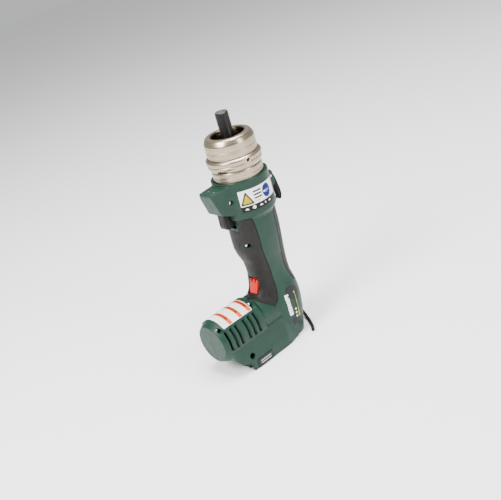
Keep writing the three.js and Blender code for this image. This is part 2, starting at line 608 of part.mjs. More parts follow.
add("battery_terminal_block", terminalBlock(), "black");
[-9, 0, 9].forEach((y, i) => add(`terminal_blade_${i + 1}`, box(50, 76, y - 0.6, y + 0.6, 3, 8.7), "copper"));
add("control_board", box(30, 80, -24, 24, 15, 16.6), "board");
add("collar_label", collarLabel(), "label");
add("motor_label", motorLabel(), "label");
add("foot_name_plate", footPlate(), "plate");
add("side_badge", sideBadge(), "plate");
add("strap_pin", rodY(STRAP.pinR, -8.3, 8.3, STRAP.x, STRAP.pinZ), "steel");
add("strap_loop", strapLoop(), "black");
add("hand_strap", handStrap(), "rubber");

export default part;
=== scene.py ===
import math
import bmesh
import bpy
from mathutils import Matrix, Vector


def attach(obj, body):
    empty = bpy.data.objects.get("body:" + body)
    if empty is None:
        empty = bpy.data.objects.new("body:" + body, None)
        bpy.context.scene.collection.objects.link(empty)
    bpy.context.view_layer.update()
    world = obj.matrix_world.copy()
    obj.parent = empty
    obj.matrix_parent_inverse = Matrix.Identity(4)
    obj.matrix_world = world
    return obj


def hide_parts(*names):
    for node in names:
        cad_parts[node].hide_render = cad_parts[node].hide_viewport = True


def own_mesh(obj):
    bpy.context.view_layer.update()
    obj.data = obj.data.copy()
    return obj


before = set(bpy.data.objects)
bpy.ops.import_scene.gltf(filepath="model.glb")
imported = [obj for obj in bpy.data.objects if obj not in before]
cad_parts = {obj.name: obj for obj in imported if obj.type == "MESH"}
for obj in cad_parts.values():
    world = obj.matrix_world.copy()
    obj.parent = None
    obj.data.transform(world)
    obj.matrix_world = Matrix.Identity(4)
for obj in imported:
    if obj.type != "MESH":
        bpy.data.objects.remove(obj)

MM = 0.001
SEAM_LEFT, SEAM_RIGHT = 0.9, 0.6    # each half of the housing and the grips is cut here
LEVER_PIN = (23.4, 97.6)
LUG_PIN = (-45.5, 229)
LAMP_X, LAMP_Y = 52, 6
BLADES_Y = (-9, 0, 9)
COLLAR_R = 39.6
FOOT_HALF = 38
WALL = 3
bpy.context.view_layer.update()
HOUSING = "housing_body"


def in_scene(name, data):
    ob = bpy.data.objects.new(name, data)
    bpy.context.scene.collection.objects.link(ob)
    return ob


# ---- Camera ----
cam_data = bpy.data.cameras.new("camera")
cam_data.lens = 57.56
cam_data.sensor_width = 36
cam_data.clip_end = 50
cam = in_scene("camera", cam_data)
right = Vector((-0.70956, 0.65530, -0.25906))
up = Vector((-0.46027, -0.15265, 0.87456))
back = right.cross(up).normalized()
turn = Matrix((right, up, back)).transposed().to_4x4()
cam.matrix_world = Matrix.Translation(Vector((0.61151, 0.82384, 0.60023))) @ turn
bpy.context.scene.camera = cam


# ---- Mesh making. Every builder takes millimetres. ----
def mesh_object(name, verts, faces):
    mesh = bpy.data.meshes.new(name)
    mesh.from_pydata([(x * MM, y * MM, z * MM) for x, y, z in verts], [], faces)
    made = bmesh.new()
    made.from_mesh(mesh)
    bmesh.ops.recalc_face_normals(made, faces=made.faces)
    made.to_mesh(mesh)
    made.free()
    return in_scene(name, mesh)


def from_bmesh(name, made):
    """The bmesh as a new object in the scene."""
    mesh = bpy.data.meshes.new(name)
    made.to_mesh(mesh)
    made.free()
    return in_scene(name, mesh)


def rings_object(name, rings, closed=False):
    """Rings of points of equal count, skinned in order. Open skins get end caps."""
    n = len(rings[0])
    verts = [p for ring in rings for p in ring]
    faces = []
    last = len(rings) if closed else len(rings) - 1
    for i in range(last):
        a, b = i * n, ((i + 1) % len(rings)) * n
        for j in range(n):
            k = (j + 1) % n
            faces.append((a + j, a + k, b + k, b + j))
    if not closed:
        faces.append(tuple(range(n)))
        faces.append(tuple(range((len(rings) - 1) * n, len(rings) * n)))
    return mesh_object(name, verts, faces)


def rounded(points, radius, steps=5):
    """The outline with its corners rounded by a radius, or by one radius for each corner."""
    out = []
    count = len(points)
    for i, p in enumerate(points):
        r = radius[i] if isinstance(radius, (list, tuple)) else radius
        here = Vector(p)
        a, b = Vector(points[i - 1]), Vector(points[(i + 1) % count])
        da, db = a - here, b - here
        reach = min(r, da.length * 0.45, db.length * 0.45)
        if reach < 0.02:
            out.append(tuple(here))
            continue
        start, end = here + da.normalized() * reach, here + db.normalized() * reach
        for k in range(steps + 1):
            t = k / steps
            q = start * (1 - t) ** 2 + here * 2 * t * (1 - t) + end * t * t
            out.append(tuple(q))
    return out


def prism(name, points, axis, low, high):
    """An outline given length along an axis: [x, z] outlines along Y, [y, z] along X, [x, y] along Z."""
    place = {
        "X": lambda a, b, c: (c, a, b),
        "Y": lambda a, b, c: (a, c, b),
        "Z": lambda a, b, c: (a, b, c),
    }[axis]
    return rings_object(name, [[place(a, b, c) for a, b in points] for c in (low, high)])


def lathe(name, profile, axis="Z", centre=(0, 0, 0), sides=96, hollow=False):
    """A turned piece from [radius, height] points. A hollow one's profile is a closed loop off the axis."""
    at = {
        "X": lambda r, h, c, s: (h, r * c, r * s),
        "Y": lambda r, h, c, s: (r * c, h, r * s),
        "Z": lambda r, h, c, s: (r * c, r * s, h),
    }[axis]
    rings = []
    for j in range(sides):
        c, s = math.cos(2 * math.pi * j / sides), math.sin(2 * math.pi * j / sides)
        rings.append([tuple(a + b for a, b in zip(at(r, h, c, s), centre)) for r, h in profile])
    if hollow:
        n = len(profile)
        verts = [p for ring in rings for p in ring]
        faces = []
        for i in range(sides):
            a, b = i * n, ((i + 1) % sides) * n
            faces += [(a + j, a + (j + 1) % n, b + (j + 1) % n, b + j) for j in range(n)]
        return mesh_object(name, verts, faces)
    turned = [[ring[j] for ring in rings] for j in range(len(profile))]
    return rings_object(name, turned)


def box(name, x0, x1, y0, y1, z0, z1):
    return prism(name, [(x0, y0), (x1, y0), (x1, y1), (x0, y1)], "Z", z0, z1)


def drop(ob):
    bpy.data.objects.remove(ob)


def settle(ob):
    """Applies every modifier."""
    graph = bpy.context.evaluated_depsgraph_get()
    mesh = bpy.data.meshes.new_from_object(ob.evaluated_get(graph))
    ob.modifiers.clear()
    ob.data = mesh
    return ob


def combine(ob, others, operation="DIFFERENCE"):
    for other in others:
        mod = ob.modifiers.new("cut", "BOOLEAN")
        mod.operation = operation
        mod.solver = "MANIFOLD"
        mod.object = other
        settle(ob)
        drop(other)
    return ob


def copy_of(ob, name):
    return in_scene(name, ob.data.copy())


def joined(name, parts):
    made = bmesh.new()
    for part in parts:
        made.from_mesh(part.data)
        drop(part)
    return from_bmesh(name, made)


def blended(ob, voxel, rounds):
    """Melts overlapping closed meshes into one skin and softens its edges."""
    mod = ob.modifiers.new("melt", "REMESH")
    mod.mode = "VOXEL"
    mod.voxel_size = voxel * MM
    settle(ob)
    mod = ob.modifiers.new("soften", "SMOOTH")
    mod.factor = 0.5
    mod.iterations = rounds
    return settle(ob)


def bevelled(ob, width, segments=3, angle=30):
    mod = ob.modifiers.new("edge", "BEVEL")
    mod.width = width * MM
    mod.segments = segments
    mod.limit_method = "ANGLE"
    mod.angle_limit = math.radians(angle)
    return settle(ob)


def biggest(ob):
    """Leaves only the largest connected body, and drops slivers that a cut left."""
    made = bmesh.new()
    made.from_mesh(ob.data)
    seen = set()
    groups = []
    for face in made.faces:
        if face in seen:
            continue
        group, stack = [], [face]
        seen.add(face)
        while stack:
            f = stack.pop()
            group.append(f)
            for edge in f.edges:
                for g in edge.link_faces:
                    if g not in seen:
                        seen.add(g)
                        stack.append(g)
        groups.append(group)
    groups.sort(key=len, reverse=True)
    doomed = [f for group in groups[1:] for f in group]
    if doomed:
        bmesh.ops.delete(made, geom=doomed, context="FACES")
    loose = [v for v in made.verts if not v.link_faces]
    bmesh.ops.delete(made, geom=loose, context="VERTS")
    made.to_mesh(ob.data)
    made.free()
    return ob


# ---- Materials ----
class Paint:
    """A procedural material, built up from a Principled shader."""

    def __init__(self, name, colour, rough, metal=0.0, **sockets):
        self.mat = bpy.data.materials.new(name)
        self.mat.use_nodes = True
        self.tree = self.mat.node_tree
        self.shader = self.tree.nodes["Principled BSDF"]
        self.put("Base Color", (*colour, 1))
        self.put("Roughness", rough)
        self.put("Metallic", metal)
        for key, value in sockets.items():
            self.put(key.replace("_", " "), value)
        self.height = None
        self.place = self.node("ShaderNodeTexCoord").outputs["Object"]

    def put(self, socket, value):
        self.shader.inputs[socket].default_value = value

    def node(self, kind, **settings):
        made = self.tree.nodes.new(kind)
        for key, value in settings.items():
            setattr(made, key, value)
        return made

    def link(self, a, b):
        self.tree.links.new(a, b)

    def scaled(self, scale):
        mapping = self.node("ShaderNodeMapping")
        mapping.inputs["Scale"].default_value = scale
        self.link(self.place, mapping.inputs["Vector"])
        return mapping.outputs["Vector"]

    def noise(self, scale, detail=3, stretch=None):
        made = self.node("ShaderNodeTexNoise")
        made.inputs["Scale"].default_value = scale
        made.inputs["Detail"].default_value = detail
        self.link(self.scaled(stretch) if stretch else self.place, made.inputs["Vector"])
        return made.outputs["Fac"]

    def ranged(self, value, low, high, from_low=0.3, from_high=0.7):
        made = self.node("ShaderNodeMapRange")
        made.inputs["From Min"].default_value = from_low
        made.inputs["From Max"].default_value = from_high
        made.inputs["To Min"].default_value = low
        made.inputs["To Max"].default_value = high
        self.link(value, made.inputs["Value"])
        return made.outputs["Result"]

    def vary_colour(self, value, low, high, from_low=0.3, from_high=0.7):
        """Runs the colour between two tints by a value."""
        ramp = self.node("ShaderNodeMix", data_type="RGBA")
        ramp.inputs["A"].default_value = (*low, 1)
        ramp.inputs["B"].default_value = (*high, 1)
        self.link(self.ranged(value, 0, 1, from_low, from_high), ramp.inputs["Factor"])
        self.link(ramp.outputs["Result"], self.shader.inputs["Base Color"])

    def vary_rough(self, value, low, high):
        self.link(self.ranged(value, low, high), self.shader.inputs["Roughness"])

    def bump(self, value, depth, strength=1.0):
        made = self.node("ShaderNodeBump")
        made.inputs["Strength"].default_value = strength
        made.inputs["Distance"].default_value = depth * MM
        self.link(value, made.inputs["Height"])
        if self.height is not None:
            self.link(self.height, made.inputs["Normal"])
        self.height = made.outputs["Normal"]
        self.link(self.height, self.shader.inputs["Normal"])


def tint(colour, by):
    return tuple(max(0.0, min(1.0, c * by)) for c in colour)


def moulded(name, colour, rough, grain=2600, depth=0.03, spread=0.08):
    """Moulded plastic: a fine spark-eroded grain, a slow drift of tint, and handling shine."""
    p = Paint(name, colour, rough)
    p.bump(p.noise(grain, 4), depth, 0.6)
    p.vary_colour(p.noise(45, 4), tint(colour, 1 - spread), tint(colour, 1 + spread))
    p.vary_rough(p.noise(160, 3), rough - 0.05, rough + 0.07)
    return p


def turned_metal(name, colour, rough, axis="Z", lines=1500, depth=0.012, metal=1.0):
    """Metal with fine turning lines round an axis and a little mottling."""
    p = Paint(name, colour, rough, metal)
    stretch = {"Z": (0.02, 0.02, 1), "X": (1, 0.02, 0.02), "Y": (0.02, 1, 0.02)}[axis]
    p.bump(p.noise(lines, 2, stretch), depth, 0.7)
    p.bump(p.noise(420, 3), depth, 0.35)
    p.vary_colour(p.noise(70, 4), tint(colour, 0.9), tint(colour, 1.06))
    p.vary_rough(p.noise(lines * 0.7, 2, stretch), rough - 0.06, rough + 0.08)
    return p


def film(name, colour, rough=0.4):
    p = moulded(name, colour, rough, 4000, 0.005, 0.03)
    p.put("Specular IOR Level", 0.18)
    return p


green = moulded("green_plastic", (0.0052, 0.0265, 0.0165), 0.42)
green.put("Specular IOR Level", 0.24)
rubber = moulded("grip_rubber", (0.0056, 0.0046, 0.0040), 0.58, 1700, 0.07, 0.14)
rubber.put("Specular IOR Level", 0.24)
rubber.put("Sheen Weight", 0.03)
rubber.put("Sheen Roughness", 0.5)
black = moulded("black_plastic", (0.0035, 0.0033, 0.0035), 0.36, 3000, 0.02)
black.put("Specular IOR Level", 0.2)
red = moulded("red_plastic", (0.52, 0.008, 0.003), 0.36, 3000, 0.015, 0.05)
grey_film = film("grey_film", (0.0115, 0.0125, 0.0135), 0.38)
white_film = film("white_film", (0.80, 0.79, 0.77), 0.36)
orange_film = film("orange_film", (0.52, 0.072, 0.001))
rust_film = film("rust_film", (0.16, 0.010, 0.002))
yellow_film = film("yellow_film", (0.36, 0.285, 0.0001))
blue_film = film("blue_film", (0.004, 0.022, 0.20))
lime_film = film("lime_film", (0.26, 0.36, 0.008))
ink_film = film("ink_film", (0.004, 0.004, 0.0045))
pale_ink = film("pale_ink", (0.36, 0.37, 0.38), 0.45)
NICKEL = (0.385, 0.315, 0.225)
nickel = turned_metal("nickel_plate", NICKEL, 0.3)
steel = turned_metal("machined_steel", (0.5, 0.5, 0.51), 0.3, "X")
steel_z = turned_metal("turned_steel", (0.5, 0.49, 0.47), 0.32)
screw_steel = turned_metal("screw_steel", (0.68, 0.68, 0.68), 0.2, "Y")
blued_steel = turned_metal("blued_can", (0.012, 0.012, 0.013), 0.5, "X", 1200, 0.02, 0.5)
spring_steel = turned_metal("spring_steel", (0.4, 0.41, 0.43), 0.28, "Z", 900, 0.02)
oxide = turned_metal("black_oxide", (0.0040, 0.0028, 0.0022), 0.32, "Z", 1300, 0.02, 0.1)
oxide.put("Specular IOR Level", 0.3)
oxide_end = turned_metal("worn_end", (0.10, 0.095, 0.088), 0.45, "Z", 900, 0.02, 0.7)
copper = turned_metal("copper", (0.62, 0.30, 0.12), 0.35, "X", 1800, 0.05)
board = moulded("coated_board", (0.02, 0.11, 0.05), 0.3, 900, 0.05)
lens = Paint("clear_lens", (0.16, 0.17, 0.17), 0.15, Transmission_Weight=0.3)
lens.bump(lens.noise(900, 2), 0.03, 0.4)
lens.vary_colour(lens.noise(300, 2), (0.12, 0.13, 0.13), (0.2, 0.21, 0.21))


def woven(name, colour, scale):
    """Woven or braided yarn: two crossing sets of ridges over fine fibre."""
    p = Paint(name, colour, 0.78, Specular_IOR_Level=0.2)
    ridges = p.node("ShaderNodeTexWave", wave_type="BANDS", bands_direction="DIAGONAL")
    ridges.inputs["Scale"].default_value = scale
    ridges.inputs["Distortion"].default_value = 1.2
    ridges.inputs["Detail"].default_value = 2
    p.link(p.place, ridges.inputs["Vector"])
    p.bump(ridges.outputs["Fac"], 0.15, 0.6)
    p.bump(p.noise(2400, 3), 0.08, 0.7)
    p.vary_colour(ridges.outputs["Fac"], tint(colour, 0.55), tint(colour, 1.7), 0.1, 0.9)
    return p


braid = woven("braided_cord", (0.007, 0.007, 0.0075), 700)
webbing = woven("webbing", (0.004, 0.004, 0.004), 420)


def wear(ob, paint):
    ob.data.materials.clear()
    ob.data.materials.append(paint.mat)


def finished(ob, paint, body, nodes=(), angle=30):
    ob.data.shade_smooth()
    ob.data.set_sharp_from_angle(angle=math.radians(angle))
    wear(ob, paint)
    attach(ob, body)
    if nodes:
        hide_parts(*nodes)
    return ob


# ---- Lanyard: a 5 mm braided cord on the same route as its CAD solid ----
CORD_R = 2.5
CORD_ROUTE = [
    (-52, 0, 193.8), (-49.2, -2.6, 190.6), (-46.8, -7, 185), (-45.8, -11.5, 176.5), (-46, -14.8, 165),
    (-46, -16, 150), (-44, -16, 128), (-42, -15.5, 105), (-41, -12.5, 75), (-40.5, -8, 48),
    (-40.5, -5, 26), (-41, 1, 12), (-39.5, 9, 5), (-36, 17, 2.8), (-31.5, 25, 2.7), (-26.5, 33, 2.7),
    (-21.5, 40, 2.7), (-16, 46, 2.7),
]


def smooth_line(points, per=8):
    """A centripetal Catmull-Rom curve through the points."""
    pts = [Vector(p) for p in points]
    pts = [pts[0] * 2 - pts[1]] + pts + [pts[-1] * 2 - pts[-2]]
    out = []
    for i in range(1, len(pts) - 2):
        p0, p1, p2, p3 = pts[i - 1:i + 3]
        t0 = 0.0
        t1 = t0 + (p1 - p0).length ** 0.5
        t2 = t1 + (p2 - p1).length ** 0.5
        t3 = t2 + (p3 - p2).length ** 0.5
        for k in range(per):
            t = t1 + (t2 - t1) * k / per
            a1 = p0 * ((t1 - t) / (t1 - t0)) + p1 * ((t - t0) / (t1 - t0))
            a2 = p1 * ((t2 - t) / (t2 - t1)) + p2 * ((t - t1) / (t2 - t1))
            a3 = p2 * ((t3 - t) / (t3 - t2)) + p3 * ((t - t2) / (t3 - t2))
            b1 = a1 * ((t2 - t) / (t2 - t0)) + a2 * ((t - t0) / (t2 - t0))
            b2 = a2 * ((t3 - t) / (t3 - t1)) + a3 * ((t - t1) / (t3 - t1))
            out.append(b1 * ((t2 - t) / (t2 - t1)) + b2 * ((t - t1) / (t2 - t1)))
    return out + [pts[-2]]


def frames_along(line):
    """A direction and two cross directions at each point, without twist."""
    side = Vector((0, 1, 0))
    out = []
    for i, p in enumerate(line):
        ahead = (line[min(i + 1, len(line) - 1)] - line[max(i - 1, 0)]).normalized()
        side = (side - ahead * side.dot(ahead)).normalized()
        out.append((p, side.copy(), ahead.cross(side)))
    return out


def round_ring(frame_at, radius, sides):
    p, u, v = frame_at
    turns = [2 * math.pi * j / sides for j in range(sides)]
    return [tuple(p + u * (math.cos(a) * radius) + v * (math.sin(a) * radius)) for a in turns]


def evenly(line, step):
    """The line's points, set again at even steps."""
    out = [line[0]]
    carry = 0.0
    for a, b in zip(line, line[1:]):
        span = (b - a).length
        at = step - carry
        while at <= span:
            out.append(a + (b - a) * (at / span))
            at += step
        carry = span - (at - step)
    if (out[-1] - line[-1]).length > step * 0.4:
        out.append(line[-1])
    return out


def braided_cord(name, line, radius):
    """A cord whose skin is pressed by crossing strands, and whose end narrows."""
    around, pitch, melted = 24, 6.5, 1.2
    rings = []
    travelled = 0.0
    frames = frames_along(line)
    total = sum((b[0] - a[0]).length for a, b in zip(frames, frames[1:]))
    for i, (p, u, v) in enumerate(frames):
        if i:
            travelled += (p - frames[i - 1][0]).length
        ring = []
        for j in range(around):
            a = 2 * math.pi * j / around
            one = math.cos(4 * a + 2 * math.pi * travelled / pitch)
            two = math.cos(4 * a - 2 * math.pi * travelled / pitch)
            weave = radius * 0.055 * (max(one, two) - 0.55)
            end = total - travelled
            shrink = 1.0 if end > melted else 0.35 + 0.65 * math.sqrt(max(0.0, end / melted))
            r = (radius * 0.985 + weave) * shrink
            ring.append(tuple(p + u * (math.cos(a) * r) + v * (math.sin(a) * r)))
        rings.append(ring)
    return rings_object(name, rings)


cord_line = evenly(smooth_line(CORD_ROUTE, 16), 0.7)
cord = braided_cord("lanyard_cord", cord_line, CORD_R)
finished(cord, braid, HOUSING, ["hand_strap"], 80)


def sleeve_along(name, line, profile, around=28):
    """A turned sleeve on a line, from [distance along it, radius]."""
    frames = frames_along(line)
    gone = [0.0]
    for a, b in zip(frames, frames[1:]):
        gone.append(gone[-1] + (b[0] - a[0]).length)
    rings = []
    for at, radius in profile:
        i = min(range(len(gone)), key=lambda k: abs(gone[k] - at))
        rings.append(round_ring(frames[i], radius, around))
    return rings_object(name, rings)


# The cord's melted end sits in a small crimped cap.
tip_line = evenly(smooth_line(CORD_ROUTE, 60), 0.1)[-92:]
cord_tip = sleeve_along("lanyard_tip", tip_line, [
    (0, 2.30), (0.3, 2.58), (1.6, 2.64), (2.1, 2.40), (2.6, 2.64), (4.6, 2.64), (5.1, 2.40), (5.6, 2.64),
    (8, 2.64), (8.8, 2.3), (9.1, 1.2),
])
finished(cord_tip, black, HOUSING, (), 40)

# ---- The housing's shape, as the CAD has it ----
MOTOR_Z = 52
MOTOR_R = 33.3
NECK_R = 30.5
STATIONS = [
    (0, 30, 28, 30), (12, 30, 29.5, 32), (36, 31, 33.5, 35.5), (60, 31, 35.7, 36), (78, 28, 35, 33),
    (94, 26.2, 31.5, 29), (110, 26.3, 31.2, 27.5), (126, 28, 32, 28.2), (141, 33, 32.5, 30.8),
    (152, 35, 33, 32.3), (172, 34.2, 34, 33.5), (206, 34.2, 34.2, 34),
]
APRON = [
    (68, 42, 0, 21), (77, 41.5, 0, 19.5), (81, 38, 0, 19), (84.5, 33.4, 0, 20), (89, 30, 0, 21.5),
    (96, 27.4, 0, 22.5), (104, 26, 0, 22.5),
]
ROUNDNESS = 2.35


def reach(stations, z, key):
    """An outline's reach at a height, on a smooth curve through its stations."""
    last = len(stations) - 1
    i = max(0, min(last - 1, sum(1 for s in stations if s[0] <= z) - 1))

    def slope(k):
        a, b = stations[max(0, k - 1)], stations[min(last, k + 1)]
        return (b[key] - a[key]) / (b[0] - a[0])

    low, high = stations[i], stations[i + 1]
    span = high[0] - low[0]
    t = min(1.0, max(0.0, (z - low[0]) / span))
    value = low[key] + (high[key] - low[key]) * t * t * (3 - 2 * t)
    value += t * (1 - t) ** 2 * span * slope(i)
    return value + t * t * (t - 1) * span * slope(i + 1)


def loft_ring(stations, z, inset, sides):
    front, rear, half = (reach(stations, z, k) - inset for k in (1, 2, 3))
    ring = []
    for j in range(sides):
        a = 2 * math.pi * (j + 0.5) / sides
        c, s = math.cos(a), math.sin(a)
        x = math.copysign(abs(c) ** (2 / ROUNDNESS), c) * (front + rear) / 2 + (front - rear) / 2
        ring.append((x, math.copysign(abs(s) ** (2 / ROUNDNESS), s) * half, z))
    return ring


def loft(name, stations, inset, low, high, step=2.0, sides=120):
    count = max(2, int((high - low) / step))
    heights = [low + (high - low) * k / count for k in range(count + 1)]
    return rings_object(name, [loft_ring(stations, z, inset, sides) for z in heights])


def side_at(x, z, out=0.0):
    """How far to the left the handle's skin lies."""
    front, rear, half = (reach(STATIONS, z, k) + out for k in (1, 2, 3))
    across = abs(x - (front - rear) / 2) / ((front + rear) / 2)
    return half * max(0.0, 1 - across ** ROUNDNESS) ** (1 / ROUNDNESS)


def hull(name, points):
    made = bmesh.new()
    for x, y, z in points:
        made.verts.new((x * MM, y * MM, z * MM))
    found = bmesh.ops.convex_hull(made, input=made.verts)
    unused = [g for g in found["geom_unused"] + found["geom_interior"] if isinstance(g, bmesh.types.BMVert)]
    bmesh.ops.delete(made, geom=list(set(unused)), context="VERTS")
    return from_bmesh(name, made)


def foot(name, inset):
    side, waist = FOOT_HALF - inset, 31 - inset
    knee = 14.5 - inset
    cross = [(-side, inset), (side, inset), (side, knee), (waist, 44), (-waist, 44), (-side, knee)]
    chin = [(0, 0), (0, 11.5), (2, 13.5), (10, 15.5), (16, 18.5), (20.5, 24), (23, 32), (23.5, 60)]
    profile = [(24, 60), (24, 0)] + [(93 + x - inset, z) for x, z in chin]
    bow = [(2.5, 37.6), (8, 36.3), (14, 35), (19, 33.6), (22, 30), (24, 20), (25, 0)]
    nose = [(93 + x - inset, y - inset) for x, y in bow]
    plan = [(24, FOOT_HALF)] + nose + [(x, -y) for x, y in nose[-2::-1]] + [(24, -FOOT_HALF)]
    return combine(prism(name, cross, "X", 24, 120), [
        prism("chin", profile, "Y", -40, 40), prism("bow", plan, "Z", -1, 62),
    ], "INTERSECT")


def heel(name):
    rings = [
        (0, [(0, 32), (8, 34), (14, 36), (24.5, FOOT_HALF)]),
        (14.5, [(0, 31), (8, 32.3), (14, 34.6), (24.5, FOOT_HALF)]),
        (44, [(6, 27), (14, 29.5), (24.5, 31)]),
    ]
    return hull(name, [(x, y * s, z) for z, plan in rings for x, y in plan for s in (-1, 1)])


def guard(name, inset):
    front, half = 64 - inset, 15 - inset
    plan = [(20, -24 + inset), (38, -half - 2), (54, -half), (front - 1.5, -half + 1.5), (front, -half + 4),
            (front, half - 4), (front - 1.5, half - 1.5), (54, half), (38, half + 2), (20, 24 - inset)]
    side = [(20, 208 + inset), (44, 211 + inset), (56 - inset, 217 + inset), (65 - inset, 249.5 - inset),
            (20, 249.5 - inset)]
    return combine(prism(name, plan, "Z", 200, 252), [prism("guard_side", side, "Y", -30, 30)], "INTERSECT")


def outside():
    cheek = rounded([(-34, 212), (-47, 214), (-50.5, 219), (-50.5, 234), (-47, 239), (-34, 241)], 3)
    barrel = [(0.01, 0), (NECK_R, 0), (NECK_R, 47), (MOTOR_R, 51), (MOTOR_R, 113), (27.7, 123), (26.7, 124),
              (0.01, 124)]
    parts = [
        loft("body", STATIONS, 0, 0, 206), loft("apron", APRON, 0, 68, 104, 1.5),
        lathe("barrel", barrel, "X", (0, 0, MOTOR_Z)),
        lathe("collar", [(0.01, 196), (34.6, 196), (COLLAR_R, 203), (COLLAR_R, 253), (0.01, 253)]),
        foot("foot", 0), heel("heel"), guard("guard", 0),
        prism("cheek", cheek, "Y", 4.6, 8.6), prism("cheek", cheek, "Y", -8.6, -4.6),
    ]
    return blended(joined("outside", parts), 0.8, 3)


def cavity():
    bore = lathe("bore", [(0.01, 200), (36, 200), (36, 260), (0.01, 260)], sides=96)
    space = [(0.01, 4), (27.6, 4), (27.6, 50), (30.3, 51), (30.3, 111.5), (25.1, 118.5), (0.01, 118.5)]
    barrel = lathe("inner_barrel", space, "X", (0, 0, MOTOR_Z), 64)
    bay = combine(foot("bay", WALL), [box("trim", 27, 100, -60, 60, 8, 60)], "INTERSECT")
    inner = loft("inner", STATIONS, WALL, WALL, 206, 6, 60)
    return combine(inner, [barrel, bore, bay, guard("inner_guard", WALL)], "UNION")


SCREWS = [(38, 228), (30.5, 160), (55.9, 80.2), (118.4, 75.4), (90.4, 22.2)]
POCKETS = [3.1, 3.1, 3.1, 3.3, 4.5]
HEADS = [13.2, 12, 12.6, 11.4, 26]
FRONT_GRIP = [
    (60, 199), (22, 199), (20, 193), (18.7, 168), (19.3, 150), (15, 131), (12.6, 121), (12.2, 108),
    (12.2, 98), (13, 89), (14.5, 80), (18.5, 67), (24.5, 62), (27, 64.5), (35, 72), (41.5, 77), (44, 82),
    (60, 82),
]
FRONT_ROUNDS = [0, 4, 3, 14, 14, 10, 8, 6, 6, 6, 6, 6, 4, 2, 4, 3, 2, 0]
REAR_GRIP = [
    (-60, 200), (-15, 200), (-12.6, 176), (-12.2, 150), (-12.4, 125), (-13, 107), (-16, 95), (-20, 83),
    (-24, 80), (-60, 80),
]
REAR_ROUNDS = [0, 4, 10, 12, 12, 8, 8, 4, 3, 0]
BED_GAP, BED_DEPTH = 0.4, 1.9          # the grips' beds in the housing
RUBBER_GAP, RUBBER_DEPTH = 0.35, 1.6


def rod(name, radius, low, high, x, z, sides=36):
    return lathe(name, [(radius, low), (radius, high)], "Y", (x, 0, z), sides)


def grown(points, by):
    """The outline pushed outwards by a distance."""
    area = sum(a[0] * b[1] - b[0] * a[1] for a, b in zip(points, points[1:] + points[:1]))
    turn_by = 1 if area > 0 else -1
    out = []
    for i, p in enumerate(points):
        here, a, b = Vector(p), Vector(points[i - 1]), Vector(points[(i + 1) % len(points)])
        n1, n2 = (here - a).normalized(), (b - here).normalized()
        n1, n2 = Vector((n1.y, -n1.x)) * turn_by, Vector((n2.y, -n2.x)) * turn_by
        n = (n1 + n2).normalized() / max(0.4, math.sqrt((1 + n1.dot(n2)) / 2))
        out.append(tuple(here + n * by))
    return out


def grip_area(name, points, rounds, clearance):
    area = prism(name, rounded(grown(points, clearance), rounds, 6), "Y", -60, 60)
    c = clearance
    return combine(area, [
        box("notch", 18, 62, -9 + c, 9 - c, 181 + c, 206),
        box("slot", 12, 36.4, -8.9 + c, 8.9 - c, 79.4, 103.6 - c),
        box("slot", 12, 62, -8.9 + c, 8.9 - c, 84, 103.6 - c),
        box("ears", 12, 62, -10.9 + c, 10.9 - c, 93.8, 101.4 - c),
    ])


def grip_core(name, depth):
    neck = lathe("neck", [(NECK_R - depth, 0), (NECK_R - depth, 47)], "X", (0, 0, MOTOR_Z))
    grip = loft(name, STATIONS, depth, 45, 206)
    return combine(grip, [neck, loft("apron", APRON, depth, 68, 104, 1.5)], "UNION")


def around_barrel(name, outline, from_deg, to_deg, steps=40, side=1):
    """An outline of [x, radius] swept about the motor's axis, its angle measured from the side upwards."""
    rings = []
    for k in range(steps + 1):
        a = math.radians(from_deg + (to_deg - from_deg) * k / steps)
        rings.append([(x, side * r * math.cos(a), MOTOR_Z + r * math.sin(a)) for x, r in outline])
    return rings_object(name, rings)


VENTS_X = (65, 74.5, 84, 98.5, 107.5, 116.5)
VENT_FROM, VENT_TO = -12, 41


def vent_cutter(side):
    """Louvres: a slit on the front side of each, and a floor that slants down to it."""
    parts = []
    for x in VENTS_X:
        top = MOTOR_R if x < 113 else MOTOR_R - 0.3
        outline = [(x, 26), (x, 40), (x - 6.2, 40), (x - 6.2, top + 0.7), (x - 5.5, top - 0.2),
                   (x - 3.6, top - 2.6), (x - 3.6, 26)]
        parts.append(around_barrel("vent", outline, VENT_FROM, VENT_TO, 30, side))
    return joined("vents", parts)


def bosses(skin):
    """Posts round the screws, kept clear of what the housing holds."""
    posts = joined("posts", [
        rod("post", 4.6 if r < 4 else 5.6, SEAM_LEFT, at, x, z, 28)
        for (x, z), at, r in zip(SCREWS, HEADS, POCKETS)
    ])
    combine(posts, [
        lathe("keep", [(27.2, 10), (27.2, 110)], "X", (0, 0, MOTOR_Z), 64),
        lathe("keep", [(22, 100), (22, 120)], "X", (0, 0, MOTOR_Z), 64),
        lathe("keep", [(29.5, 100), (29.5, 196)], sides=64),
        lathe("keep", [(35.8, 196), (35.8, 260)], sides=64),
    ])
    return combine(posts, [copy_of(skin, "skin")], "INTERSECT")


